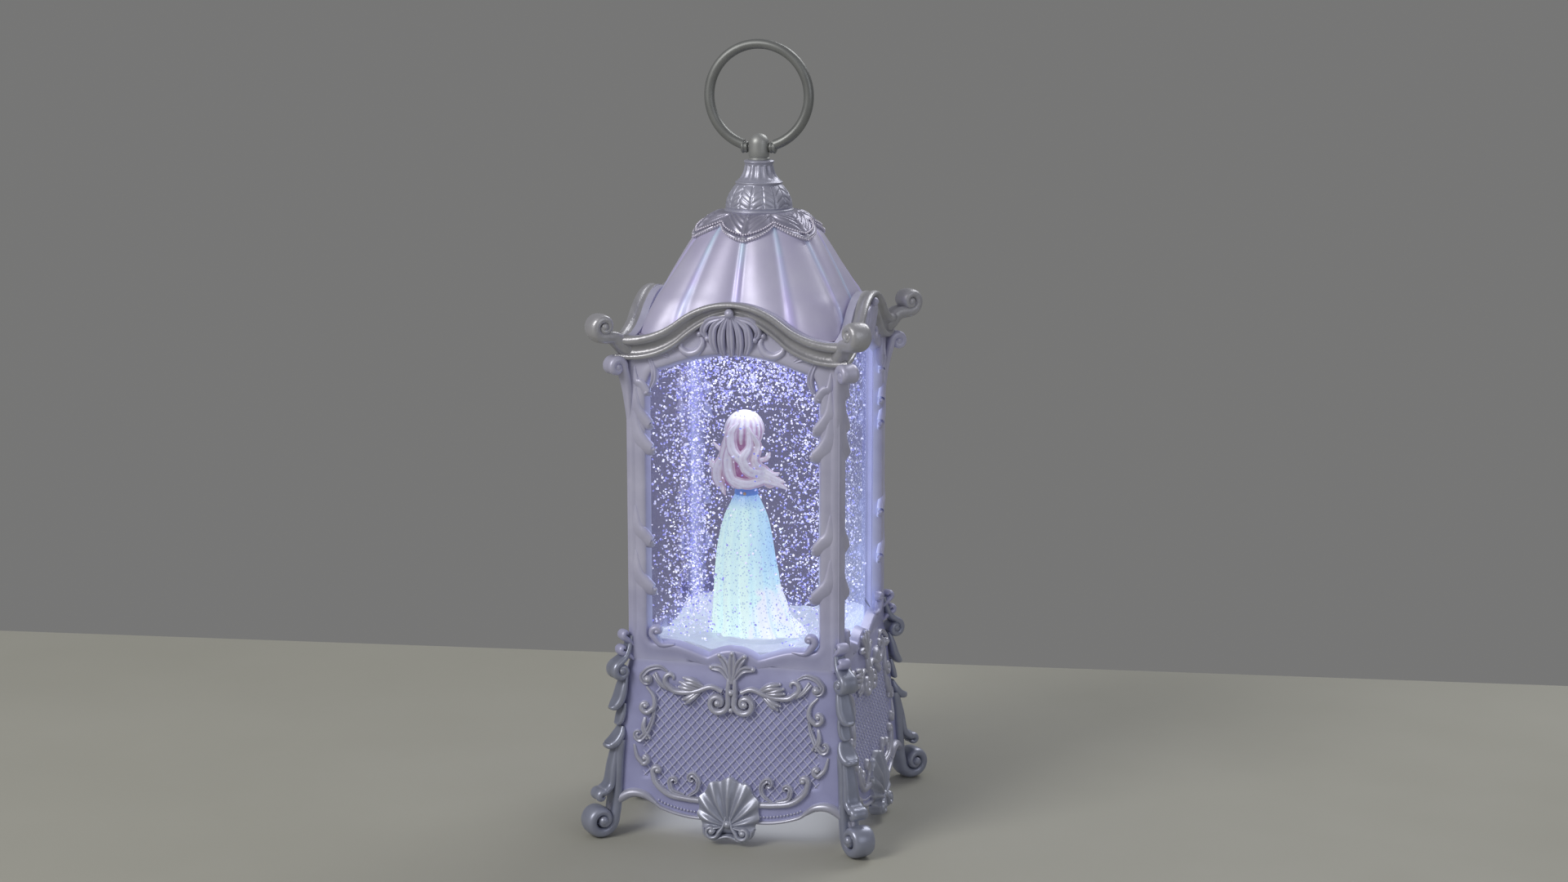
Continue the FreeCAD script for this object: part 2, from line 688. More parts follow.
def make_ring_handle():
    """A ring open at the knob, with a collar and a pivot stub at each end."""
    centre_z = PIVOT_Z + RING_R
    start = KNOB_R + HINGE_SIDE_GAP
    collar_end = start + RING_COLLAR_LONG
    open_deg = math.degrees(math.asin((collar_end - RING_COLLAR_LONG / 4) / RING_R))
    wire = Part.makeCircle(RING_WIRE_R, Vector(RING_R, 0, 0), Vector(0, 1, 0))
    ring = Part.Face(Part.Wire(wire)).revolve(Vector(0, 0, 0), AXIS, 360 - 2 * open_deg)
    ring.rotate(Vector(0, 0, 0), AXIS, open_deg - 90)
    ring.rotate(Vector(0, 0, 0), Vector(1, 0, 0), 90)
    ring.translate(Vector(0, 0, centre_z))
    for side in (-1, 1):
        collar_range = sorted((side * start, side * collar_end))
        stub_range = sorted((side * (start - RING_STUB_LONG), side * collar_end))
        ring = ring.fuse(bar_along_x(RING_COLLAR_R, collar_range, 0, PIVOT_Z))
        ring = ring.fuse(bar_along_x(RING_STUB_R, stub_range, 0, PIVOT_Z))
    return ring.removeSplitter()


# Light boards and the lead that feeds the roof
def led(x, y, z):
    """The round lens of one light, standing on its board."""
    lens = Part.makeSphere(LED_R, Vector(x, y, z + LED_HIGH - LED_R))
    lens = lens.fuse(cylinder(LED_R, z, z + LED_HIGH - LED_R, x, y))
    return lens.common(cylinder(2 * LED_R, z, z + LED_HIGH, x, y)).removeSplitter()


def make_roof_led_board():
    board = cylinder(ROOF_BOARD_R, ROOF_PLATE_TOP_Z, ROOF_PLATE_TOP_Z + BOARD_THICK)
    chip_low = ROOF_PLATE_TOP_Z - LED_R / 2
    spots = round_spots(ROOF_LED_COUNT, ROOF_LED_RING)
    return Part.makeCompound([board] + [cylinder(LED_R, chip_low, ROOF_PLATE_TOP_Z, x, y) for x, y in spots])


def roof_lead(radius):
    """The lead from the lower board, up the corner between tank and frame, over to the roof's board."""
    low_z = LIGHT_BOARD_TOP_Z - BOARD_THICK / 2
    high_z = ROOF_PLATE_TOP_Z + LEAD_R + LEAD_GAP
    inner_low = TANK_HALF - LIGHT_BOARD_INSET
    inner_high = ROOF_BOARD_R / DIAGONAL
    toward = Vector(-1, -1, 0).normalize()
    foot = Vector(LEAD_AT, LEAD_AT, low_z)
    head = Vector(LEAD_AT, LEAD_AT, high_z)
    foot_end = Vector(inner_low, inner_low, low_z)
    head_end = Vector(inner_high, inner_high, high_z)
    bend = LEAD_BEND_R
    turn = bend * (1 - 1 / DIAGONAL)
    edges = [
        Part.LineSegment(foot_end, foot + toward * bend).toShape(),
        Part.Arc(foot + toward * bend, foot + toward * turn + AXIS * turn, foot + AXIS * bend).toShape(),
        Part.LineSegment(foot + AXIS * bend, head - AXIS * bend).toShape(),
        Part.Arc(head - AXIS * bend, head + toward * turn - AXIS * turn, head + toward * bend).toShape(),
        Part.LineSegment(head + toward * bend, head_end).toShape(),
    ]
    section = Part.Wire(Part.makeCircle(radius, foot_end, toward * -1))
    return Part.Wire(edges).makePipeShell([section], True, False)


def lead_room():
    return roof_lead(LEAD_R + LEAD_GAP)


def make_light_board():
    half = TANK_HALF - LIGHT_BOARD_INSET
    low = LIGHT_BOARD_TOP_Z - BOARD_THICK
    board = plain_square(half, low, LIGHT_BOARD_TOP_Z)
    board = board.cut(cylinder(LIGHT_BOARD_HOLE_R, low - 1, LIGHT_BOARD_TOP_Z + 1))
    pinion_room = GEAR_MODULE * PINION_TEETH / 2 + PLATE_PEG_R
    holes = [(pinion_room, IDLER_X, IDLER_Y), (PUCK_R - PLATE_PEG_R, 0, IMPELLER_Y)]
    holes += [(PLATE_PEG_R + RUN_GAP, x, y) for x, y in four_way(PLATE_POST_AT, PLATE_POST_AT)]
    holes += [(COLUMN_R + TANK_GAP, x, y) for x, y in four_way(COLUMN_AT, COLUMN_ALONG)]
    for radius, x, y in holes:
        board = board.cut(cylinder(radius, low - 1, LIGHT_BOARD_TOP_Z + 1, x, y))
    far = LED_RING
    near = LED_RING / 2
    spots = [(side * far, y) for side in (-1, 1) for y in (-near, 0, near)]
    spots += [(0, -far), (-near, -far)]
    lights = [led(x, y, LIGHT_BOARD_TOP_Z) for x, y in spots]
    return Part.makeCompound([board] + lights)


# Tank: shell, floor, gasket, plug, screws, mound and water
def tank_screw_spots():
    at = (FLANGE_HALF + TANK_INNER + GASKET_INSET + GASKET_WIDE) / 2
    along = TANK_HALF / 2
    spots = []
    for side in (-1, 1):
        for end in (-1, 1):
            spots.append((side * along, end * at))
            spots.append((end * at, side * along))
    return spots


TANK_SCREW_R = 0.9
TANK_SCREW_HEAD_R = 1.5


def make_tank_shell():
    shell = square_prism(TANK_HALF, TANK_EDGE_R, WATER_FLOOR_Z, TANK_TOP_Z)
    shell = shell.fuse(square_prism(FLANGE_HALF, FLANGE_EDGE_R, WATER_FLOOR_Z, SHELF_BOTTOM_Z))
    inner_edge = TANK_EDGE_R - TANK_WALL
    shell = shell.cut(square_prism(TANK_INNER, inner_edge, WATER_FLOOR_Z - 1, TANK_TOP_Z - TANK_WALL))
    shell = shell.cut(lead_room())
    for x, y in tank_screw_spots():
        shell = shell.cut(cylinder(TANK_SCREW_R + RUN_GAP, WATER_FLOOR_Z - 1, SHELF_BOTTOM_Z - 0.4, x, y))
    return shell.removeSplitter()


def gasket_ring(low, high, gap=0.0):
    inner = TANK_INNER + GASKET_INSET
    outer = square_prism(inner + GASKET_WIDE - gap, TANK_EDGE_R - TANK_WALL + GASKET_WIDE, low, high)
    return outer.cut(square_prism(inner + gap, TANK_EDGE_R - TANK_WALL, low - 1, high + 1))


def make_tank_floor():
    floor = square_prism(FLANGE_HALF, FLANGE_EDGE_R, FLOOR_BOTTOM_Z, WATER_FLOOR_Z)
    floor = floor.cut(gasket_ring(WATER_FLOOR_Z - GASKET_DEEP, WATER_FLOOR_Z + 1))
    floor = floor.cut(lead_room())
    sunk = WATER_FLOOR_Z - SPINDLE_SUNK
    floor = floor.cut(cylinder(SPINDLE_R + PRESS_GAP, sunk, WATER_FLOOR_Z + 1))
    floor = floor.cut(cylinder(IMPELLER_PIN_R + PRESS_GAP, sunk, WATER_FLOOR_Z + 1, 0, IMPELLER_Y))
    floor = floor.cut(cylinder(PLUG_R + PRESS_GAP, FLOOR_BOTTOM_Z - 1, WATER_FLOOR_Z + 1, *plug_spot()))
    for x, y in tank_screw_spots():
        floor = floor.cut(cylinder(TANK_SCREW_R + RUN_GAP, FLOOR_BOTTOM_Z - 1, WATER_FLOOR_Z + 1, x, y))
    bite_z = FLOOR_BOTTOM_Z + COLUMN_BITE
    for x, y in four_way(COLUMN_AT, COLUMN_ALONG) + four_way(PLATE_POST_AT, PLATE_POST_AT):
        floor = floor.cut(cylinder(SCREW_R + RUN_GAP, FLOOR_BOTTOM_Z - 1, bite_z, x, y))
    return floor


def plug_spot():
    return -TANK_INNER / 2, -0.62 * TANK_INNER


def make_fill_plug():
    x, y = plug_spot()
    plug = cylinder(PLUG_R, FLOOR_BOTTOM_Z, WATER_FLOOR_Z, x, y)
    head = cylinder(PLUG_HEAD_R, FLOOR_BOTTOM_Z - PLUG_HEAD_THICK, FLOOR_BOTTOM_Z, x, y)
    return plug.fuse(head).removeSplitter()


def make_tank_screws():
    length = FLOOR_THICK + FLANGE_THICK - 1
    screws = []
    for x, y in tank_screw_spots():
        screws.append(screw(x, y, FLOOR_BOTTOM_Z, length, TANK_SCREW_R, TANK_SCREW_HEAD_R))
    return Part.makeCompound(screws)


def make_tank_pivots():
    low = WATER_FLOOR_Z - SPINDLE_SUNK
    spindle = cylinder(SPINDLE_R, low, TURNTABLE_TOP_Z - TURNTABLE_SKIN - LIFT_GAP)
    pin = cylinder(IMPELLER_PIN_R, low, WATER_FLOOR_Z + LIFT_GAP + IMPELLER_HIGH, 0, IMPELLER_Y)
    return Part.makeCompound([spindle, pin])


def make_snow_mound():
    """Snow scenery on the tank floor: a level middle, with higher heaps in the four corners."""
    half = TANK_INNER - MOUND_SIDE_GAP
    low = WATER_FLOOR_Z
    mound = plain_square(half, low, low + MOUND_HEAP_Z)
    room = cylinder(FIGURE_SWEEP_R, low + MOUND_SKIN_Z, low + 2 * MOUND_HEAP_Z)
    mound = mound.cut(room)
    mound = mound.cut(cylinder(TURNTABLE_R + MOUND_GAP, low - 1, low + MOUND_HEAP_Z + 1))
    pocket_high = LIFT_GAP + IMPELLER_HIGH + MOUND_GAP
    pocket = cylinder(IMPELLER_R + IMPELLER_POCKET_GAP, low - 1, low + pocket_high, 0, IMPELLER_Y)
    outlet = cylinder(IMPELLER_R - IMPELLER_HUB_R, low, low + 2 * MOUND_HEAP_Z, 0, IMPELLER_Y)
    inner_edge = TANK_EDGE_R - TANK_WALL
    return mound.cut(pocket).cut(outlet).common(square_prism(half, inner_edge, low, low + MOUND_HEAP_Z))


def make_glitter_water():
    """The liquid as one solid: it fills the tank above the mound, clear of the figurine's sweep."""
    half = TANK_INNER - WATER_GAP
    low = WATER_FLOOR_Z + MOUND_HEAP_Z + WATER_GAP
    high = TANK_TOP_Z - TANK_WALL - WATER_GAP
    water = square_prism(half, TANK_EDGE_R - TANK_WALL, low, high)
    return water.cut(cylinder(FIGURE_SWEEP_R, low - 1, TURNTABLE_TOP_Z + FIGURE_SWEEP_HIGH))


# Turntable, figurine and impeller
TURNTABLE_LOW_Z = WATER_FLOOR_Z + LIFT_GAP
TURNTABLE_TOP_Z = TURNTABLE_LOW_Z + TURNTABLE_HIGH


def magnet_spots():
    return round_spots(MAGNET_COUNT, MAGNET_RING_R, 0.5)


def make_turntable():
    """A cup-shaped disc with a hub on the spindle and four magnet pockets underneath."""
    skin_low = TURNTABLE_TOP_Z - TURNTABLE_SKIN
    table = cylinder(TURNTABLE_R, TURNTABLE_LOW_Z, TURNTABLE_TOP_Z)
    table = table.cut(cylinder(TURNTABLE_R - TURNTABLE_SKIN, TURNTABLE_LOW_Z - 1, skin_low))
    table = table.fuse(cylinder(TURNTABLE_HUB_R, TURNTABLE_LOW_Z, skin_low))
    for x, y in magnet_spots():
        table = table.fuse(cylinder(MAGNET_R + TURNTABLE_SKIN / 2, TURNTABLE_LOW_Z, skin_low, x, y))
    for x, y in magnet_spots():
        pocket = cylinder(MAGNET_R + PRESS_GAP, TURNTABLE_LOW_Z - 1, TURNTABLE_LOW_Z + MAGNET_THICK, x, y)
        table = table.cut(pocket)
    return table.cut(cylinder(SPINDLE_R + RUN_GAP, TURNTABLE_LOW_Z - 1, skin_low)).removeSplitter()


def make_magnets(low):
    return Part.makeCompound([cylinder(MAGNET_R, low, low + MAGNET_THICK, x, y) for x, y in magnet_spots()])


def make_figurine_gown():
    foot = TURNTABLE_TOP_Z
    waist = foot + FIGURE_WAIST_Z
    gown = ellipse_loft(
        [
            (foot, 3.0, -2.0, 22.0, 19.0),
            (foot + 8, 1.8, -1.0, 18.0, 16.0),
            (foot + 26, -0.8, 0.0, 14.0, 12.5),
            (foot + 46, -1.2, 0.0, 10.5, 9.0),
            (foot + 60, -1.4, 0.0, 6.8, 5.6),
            (waist, -1.5, 0.0, 5.2, 4.2),
        ]
    )
    gown.translate(Vector(FIGURE_OFF_X, 0, 0))
    return gown


def make_figurine_body():
    """A plain bust of revolution with two bent arms, standing on the gown's waist."""
    waist = TURNTABLE_TOP_Z + FIGURE_WAIST_Z
    shoulder_z = waist + 14.2
    neck_z = waist + 18.0
    profile = [(0, waist), (4.0, waist), (5.4, waist + 9), (5.0, waist + 14), (FIGURE_NECK_R, neck_z)]
    head_z = waist + FIGURE_HEAD_Z
    for degrees in range(-60, 90, 15):
        angle = math.radians(degrees)
        profile.append((FIGURE_HEAD_R * math.cos(angle), head_z + FIGURE_HEAD_R * math.sin(angle)))
    body = revolved(profile + [(0, head_z + FIGURE_HEAD_R)])
    for side in (-1, 1):
        shoulder = (side * 3.0, 0, shoulder_z)
        elbow = (side * 11.5, -1.0, waist + 3.5)
        hand = (side * 15.0, 7.5, waist + 5.0)
        body = body.fuse(bent_rod(shoulder, elbow, hand, FIGURE_ARM_R))
    body.translate(Vector(FIGURE_OFF_X + FIGURE_LEAN_X, 0, 0))
    return body.removeSplitter()


def make_figurine_hair():
    """Hair over the crown and down the back, clear of the head and the shoulders."""
    waist = TURNTABLE_TOP_Z + FIGURE_WAIST_Z
    head_z = waist + FIGURE_HEAD_Z
    cap = Part.makeSphere(FIGURE_HEAD_R + 1.8, Vector(0, -1.6, head_z + 1.6))
    wide = 2 * FIGURE_HEAD_R
    face_side = block((-wide, wide), (FIGURE_HEAD_R / 2, 2 * wide), (waist, waist + 4 * wide))
    fall = block((-FIGURE_HEAD_R, FIGURE_HEAD_R), (-12.0, -7.5), (waist + 2, head_z))
    head = Part.makeSphere(FIGURE_HEAD_R + HAIR_GAP, Vector(0, 0, head_z))
    neck = cylinder(2 * FIGURE_NECK_R, waist, head_z)
    hair = cap.cut(face_side).fuse(fall).cut(neck).cut(head)
    hair.translate(Vector(FIGURE_OFF_X + FIGURE_LEAN_X, 0, 0))
    return hair.removeSplitter()


def make_impeller():
    low = WATER_FLOOR_Z + LIFT_GAP
    high = low + IMPELLER_HIGH
    wheel = cylinder(IMPELLER_HUB_R, low, high, 0, IMPELLER_Y)
    plate_top = low + IMPELLER_BLADE
    wheel = wheel.fuse(cylinder(IMPELLER_R, low, plate_top, 0, IMPELLER_Y))
    for k in range(IMPELLER_BLADES):
        blade = block((0, IMPELLER_R), (-IMPELLER_BLADE / 2, IMPELLER_BLADE / 2), (low, high))
        blade.rotate(Vector(0, 0, 0), AXIS, 360 * k / IMPELLER_BLADES)
        blade.translate(Vector(0, IMPELLER_Y, 0))
        wheel = wheel.fuse(blade)
    wheel = wheel.common(cylinder(IMPELLER_R, low, high, 0, IMPELLER_Y))
    return wheel.cut(cylinder(IMPELLER_PIN_R + RUN_GAP, low - 1, high + 1, 0, IMPELLER_Y)).removeSplitter()


# Gear train, motor and mechanism plate
def gear(teeth, low, high, x, y, bore, tooth_towards):
    """A spur gear with straight-sided approximations of involute teeth, one tooth aimed at an angle."""
    pitch_r = GEAR_MODULE * teeth / 2
    pressure = math.radians(GEAR_PRESSURE_DEG)
    base_r = pitch_r * math.cos(pressure)
    tip_r = pitch_r + GEAR_ADDENDUM * GEAR_MODULE
    root_r = pitch_r - GEAR_DEDENDUM * GEAR_MODULE
    half_pitch = math.pi / (2 * teeth) - GEAR_BACKLASH / (2 * pitch_r)

    def involute(r):
        angle = math.acos(min(1.0, base_r / r))
        return math.tan(angle) - angle

    def half_angle(r):
        return half_pitch + involute(pitch_r) - involute(max(r, base_r))

    flank = [max(root_r, base_r), pitch_r, tip_r]
    points = []
    for k in range(teeth):
        middle = tooth_towards + 2 * math.pi * k / teeth
        polar = [(root_r, -half_angle(root_r))] + [(r, -half_angle(r)) for r in flank if r > root_r]
        polar += [(r, -a) for r, a in reversed(polar)]
        for r, a in polar:
            points.append(Vector(x + r * math.cos(middle + a), y + r * math.sin(middle + a), low))
    face = Part.Face(Part.makePolygon(points + points[:1]))
    return face.extrude(Vector(0, 0, high - low)).cut(cylinder(bore, low - 1, high + 1, x, y))


AIM_AT_IDLER = math.atan2(IDLER_Y, IDLER_X)
AIM_AT_MOTOR = math.atan2(IMPELLER_Y - IDLER_Y, -IDLER_X)


def make_drive_gear():
    """The turntable's driver: a toothed wheel under a disc that carries four magnets."""
    bore = SPINDLE_R + RUN_GAP
    wheel = gear(GEAR_TEETH, GEAR_LOW_Z, GEAR_TOP_Z, 0, 0, bore, AIM_AT_IDLER)
    disc_low = DRIVER_TOP_Z - DRIVER_THICK
    disc = cylinder(DRIVER_R, disc_low, DRIVER_TOP_Z)
    neck = cylinder(TURNTABLE_HUB_R, GEAR_TOP_Z, disc_low)
    wheel = wheel.fuse(neck.fuse(disc))
    pocket_z = DRIVER_TOP_Z - MAGNET_THICK
    for x, y in magnet_spots():
        wheel = wheel.cut(cylinder(MAGNET_R + PRESS_GAP, pocket_z, DRIVER_TOP_Z + 1, x, y))
    return wheel.cut(cylinder(bore, GEAR_LOW_Z - 1, pocket_z)).removeSplitter()


def make_idler_gear():
    """The idler: a large wheel on the motor's pinion, and a pinion on the driver's wheel."""
    bore = SPINDLE_R + RUN_GAP
    aim = AIM_AT_IDLER + math.pi + math.pi / PINION_TEETH
    wheel = gear(GEAR_TEETH, IDLER_LOW_Z, IDLER_TOP_Z, IDLER_X, IDLER_Y, bore, AIM_AT_MOTOR)
    pinion = gear(PINION_TEETH, GEAR_LOW_Z, GEAR_TOP_Z, IDLER_X, IDLER_Y, bore, aim)
    neck = cylinder(GEAR_MODULE * PINION_TEETH / 3, IDLER_TOP_Z, GEAR_LOW_Z, IDLER_X, IDLER_Y)
    neck = neck.cut(cylinder(bore, IDLER_TOP_Z - 1, GEAR_LOW_Z + 1, IDLER_X, IDLER_Y))
    return wheel.fuse(neck).fuse(pinion).removeSplitter()


def make_motor_rotor():
    """The motor's shaft and the pinion pressed on it."""
    aim = AIM_AT_MOTOR + math.pi + math.pi / PINION_TEETH
    bore = MOTOR_SHAFT_R + PRESS_GAP
    pinion = gear(PINION_TEETH, IDLER_LOW_Z, IDLER_TOP_Z, 0, IMPELLER_Y, bore, aim)
    shaft_top = DRIVER_TOP_Z - PUCK_THICK / 2
    shaft = cylinder(MOTOR_SHAFT_R, PLATE_Z - MOTOR_SHAFT_SUNK, shaft_top, 0, IMPELLER_Y)
    return Part.makeCompound([shaft, pinion])


def make_impeller_driver():
    """The magnet puck on the motor shaft, under the impeller."""
    puck = cylinder(PUCK_R, DRIVER_TOP_Z - PUCK_THICK, DRIVER_TOP_Z, 0, IMPELLER_Y)
    bore = cylinder(MOTOR_SHAFT_R + PRESS_GAP, 0, DRIVER_TOP_Z - PUCK_THICK / 2, 0, IMPELLER_Y)
    return puck.cut(bore)


def make_motor():
    can = cylinder(MOTOR_R, PLATE_Z - MOTOR_HIGH, PLATE_Z, 0, IMPELLER_Y)
    room_low = PLATE_Z - MOTOR_SHAFT_SUNK - LIFT_GAP
    return can.cut(cylinder(MOTOR_SHAFT_R + RUN_GAP, room_low, PLATE_Z + 1, 0, IMPELLER_Y))


def make_mechanism_plate():
    """The plate that carries the motor and gears, hung from the tank floor by four stepped posts."""
    half = PLATE_POST_AT + PLATE_EDGE
    plate = plain_square(half, PLATE_Z, PLATE_TOP_Z)
    board_low = LIGHT_BOARD_TOP_Z - BOARD_THICK
    for x, y in four_way(PLATE_POST_AT, PLATE_POST_AT):
        plate = plate.fuse(cylinder(PLATE_POST_R, PLATE_TOP_Z, board_low, x, y))
        plate = plate.fuse(cylinder(PLATE_PEG_R, board_low, FLOOR_BOTTOM_Z, x, y))
        plate = plate.cut(cylinder(SCREW_R + RUN_GAP, PLATE_Z - 1, FLOOR_BOTTOM_Z + 1, x, y))
    plate = plate.cut(cylinder(3 * MOTOR_SHAFT_R, PLATE_Z - 1, PLATE_TOP_Z + 1, 0, IMPELLER_Y))
    plate = plate.fuse(cylinder(SPINDLE_R, PLATE_TOP_Z, DRIVER_TOP_Z - MAGNET_THICK - LIFT_GAP))
    plate = plate.fuse(cylinder(SPINDLE_R, PLATE_TOP_Z, GEAR_TOP_Z, IDLER_X, IDLER_Y))
    washer_r = 2 * SPINDLE_R
    plate = plate.fuse(cylinder(washer_r, PLATE_TOP_Z, IDLER_LOW_Z - LIFT_GAP, IDLER_X, IDLER_Y))
    spacer_r = GEAR_CENTRES - GEAR_MODULE * (GEAR_TEETH / 2 + GEAR_ADDENDUM) - LIFT_GAP
    plate = plate.fuse(cylinder(spacer_r, PLATE_TOP_Z, GEAR_LOW_Z - LIFT_GAP))
    return plate.removeSplitter()


# Base cover with columns, battery bay, door, switches and sound
def tray_inside():
    """(x range, y range, z range) of the room for the cells and their contacts."""
    half_x = CELL_LONG / 2 + CONTACT_ROOM
    wide = CELL_COUNT * 2 * CELL_R + (CELL_COUNT + 1) * CELL_GAP
    back = TRAY_BACK_Y - TRAY_WALL
    return (-half_x, half_x), (back - wide, back), (COVER_TOP_Z, COVER_TOP_Z + 2 * CELL_R + 2 * CELL_GAP)


def cell_rows():
    _, y_range, z_range = tray_inside()
    for k in range(CELL_COUNT):
        yield y_range[0] + CELL_GAP + CELL_R + k * (2 * CELL_R + CELL_GAP), z_range[0] + CELL_GAP + CELL_R


def make_battery_tray():
    x_range, y_range, z_range = tray_inside()
    grown = [(low - TRAY_WALL, high + TRAY_WALL) for low, high in (x_range, y_range)]
    tray = block(grown[0], grown[1], (z_range[0], z_range[1] + TRAY_WALL))
    return tray.cut(block(x_range, y_range, (z_range[0] - 1, z_range[1])))


def make_battery_cells():
    cells = []
    for y, z in cell_rows():
        cell = bar_along_x(CELL_R, (-CELL_LONG / 2, CELL_LONG / 2), y, z)
        nub = bar_along_x(CELL_NUB_R, (CELL_LONG / 2, CELL_LONG / 2 + CELL_NUB_LONG), y, z)
        cells.append(cell.fuse(nub).removeSplitter())
    return Part.makeCompound(cells)


def make_battery_contacts():
    """A tapered spring at one end of each cell and a bent plate at the other."""
    (x_low, x_high), _, _ = tray_inside()
    along = Vector(1, 0, 0)
    half = 0.7 * CELL_R
    spring_x = x_low + CONTACT_THICK
    bump_x = CELL_LONG / 2 + CELL_NUB_LONG
    pieces = []
    for y, z in cell_rows():
        for x in (x_low, x_high - CONTACT_THICK):
            pieces.append(block((x, x + CONTACT_THICK), (y - half, y + half), (z - half, z + half)))
        spring_long = -CELL_LONG / 2 - spring_x
        pieces.append(Part.makeCone(0.6 * CELL_R, 0.4 * CELL_R, spring_long, Vector(spring_x, y, z), along))
        bump_long = x_high - CONTACT_THICK - bump_x
        pieces.append(Part.makeCone(0.2 * CELL_R, 0.5 * CELL_R, bump_long, Vector(bump_x, y, z), along))
    return Part.makeCompound(pieces)


HINGE_Z = COVER_Z - DOOR_GAP - HINGE_R


def hinge_y():
    _, y_range, _ = tray_inside()
    return y_range[0] - DOOR_LIP - HINGE_R


def make_base_cover():
    half = base_half(COVER_TOP_Z) - BASE_WALL - TANK_GAP
    cover = plain_square(half, COVER_Z, COVER_TOP_Z)
    x_range, y_range, _ = tray_inside()
    cover = cover.cut(block(x_range, y_range, (COVER_Z - 1, COVER_TOP_Z + 1)))
    for x, y in four_way(COLUMN_AT, COLUMN_ALONG):
        cover = cover.fuse(cylinder(COLUMN_R, COVER_TOP_Z, FLOOR_BOTTOM_Z, x, y))
        cover = cover.cut(cylinder(SCREW_R + RUN_GAP, COVER_Z - 1, FLOOR_BOTTOM_Z + 1, x, y))
    for x, y in circuit_posts():
        cover = cover.fuse(cylinder(CIRCUIT_POST_R, COVER_TOP_Z, CIRCUIT_Z, x, y))
    for x, y in grille_spots():
        cover = cover.cut(cylinder(GRILLE_HOLE_R, COVER_Z - 1, COVER_TOP_Z + 1, x, y))
    slot_x = around(SWITCH_X + SLIDER_TRAVEL / 2, SLIDER_LONG + SLIDER_TRAVEL + 2 * SLIDER_GAP)
    slot_y = around(SWITCH_Y, SLIDER_WIDE + 2 * SLIDER_GAP)
    cover = cover.cut(block(slot_x, slot_y, (COVER_Z - 1, COVER_TOP_Z + 1)))
    cover = cover.cut(cylinder(BUTTON_R + BUTTON_GAP, COVER_Z - 1, COVER_TOP_Z + 1, BUTTON_X, BUTTON_Y))
    for side in (-1, 1):
        inner = HINGE_KNUCKLE_LONG / 2 + HINGE_SIDE_GAP
        ear_range = sorted((side * inner, side * (inner + HINGE_EAR_LONG)))
        ear = bar_along_x(HINGE_R, ear_range, hinge_y(), HINGE_Z)
        stem = block(ear_range, (hinge_y() - HINGE_R, hinge_y() + HINGE_R / 2), (HINGE_Z, COVER_Z))
        cover = cover.fuse(ear).fuse(stem)
    pin_reach = HINGE_KNUCKLE_LONG / 2 + HINGE_SIDE_GAP + HINGE_PIN_LONG + HINGE_SIDE_GAP
    bore = bar_along_x(HINGE_PIN_R + RUN_GAP, (-pin_reach, pin_reach), hinge_y(), HINGE_Z)
    return cover.cut(bore).removeSplitter()


def make_battery_door():
    """A door over the bay's mouth, hinged at its front edge on two pin stubs."""
    x_range, y_range, _ = tray_inside()
    top = COVER_Z - DOOR_GAP
    start = hinge_y() + HINGE_R + HINGE_SIDE_GAP
    half_x = x_range[1] + DOOR_LIP
    plate = block((-half_x, half_x), (start, y_range[1] + DOOR_LIP), (top - DOOR_THICK, top))
    knuckle_half = HINGE_KNUCKLE_LONG / 2
    knuckle = bar_along_x(HINGE_R, (-knuckle_half, knuckle_half), hinge_y(), HINGE_Z)
    web = block((-knuckle_half, knuckle_half), (hinge_y(), start), (top - DOOR_THICK, top))
    pin_reach = knuckle_half + HINGE_SIDE_GAP + HINGE_PIN_LONG
    pin = bar_along_x(HINGE_PIN_R, (-pin_reach, pin_reach), hinge_y(), HINGE_Z)
    door = plate.fuse(knuckle).fuse(web).fuse(pin)
    finger = cylinder(3 * DOOR_THICK, 0, COVER_Z, 0, y_range[1] + DOOR_LIP + 2 * DOOR_THICK)
    return door.cut(finger).removeSplitter()


def make_case_screws():
    """Three lengths of one screw: under the cover, under the mechanism plate and inside the dome."""
    bite = COLUMN_BITE - LIFT_GAP
    cover_long = FLOOR_BOTTOM_Z - COVER_Z + bite
    plate_long = FLOOR_BOTTOM_Z - PLATE_Z + bite
    roof_long = DOME_WALL + COLLAR_THICK + FINIAL_BELL_HIGH / 2
    screws = [screw(x, y, COVER_Z, cover_long) for x, y in four_way(COLUMN_AT, COLUMN_ALONG)]
    screws += [screw(x, y, PLATE_Z, plate_long) for x, y in four_way(PLATE_POST_AT, PLATE_POST_AT)]
    screws.append(screw(0, 0, CROWN_Z - DOME_WALL, roof_long))
    return Part.makeCompound(screws)


def grille_spots():
    ring = round_spots(GRILLE_HOLES, GRILLE_RING_R)
    return [(SPEAKER_X + x, SPEAKER_Y + y) for x, y in [(0, 0)] + ring]


def make_speaker():
    """A small loudspeaker, face down over the grille: rim, basket and magnet, hollow behind the grille."""
    face = Vector(SPEAKER_X, SPEAKER_Y, COVER_TOP_Z)
    rim_high = 0.3 * SPEAKER_HIGH
    basket = Part.makeCone(0.85 * SPEAKER_R, 0.55 * SPEAKER_R, rim_high, face + AXIS * rim_high, AXIS)
    rim = cylinder(SPEAKER_R, face.z, face.z + rim_high, face.x, face.y)
    magnet = cylinder(0.6 * SPEAKER_R, face.z + 2 * rim_high, face.z + SPEAKER_HIGH, face.x, face.y)
    hollow = Part.makeCone(0.8 * SPEAKER_R, 0.35 * SPEAKER_R, SPEAKER_HIGH / 2, face, AXIS)
    return rim.fuse(basket).fuse(magnet).cut(hollow).removeSplitter()


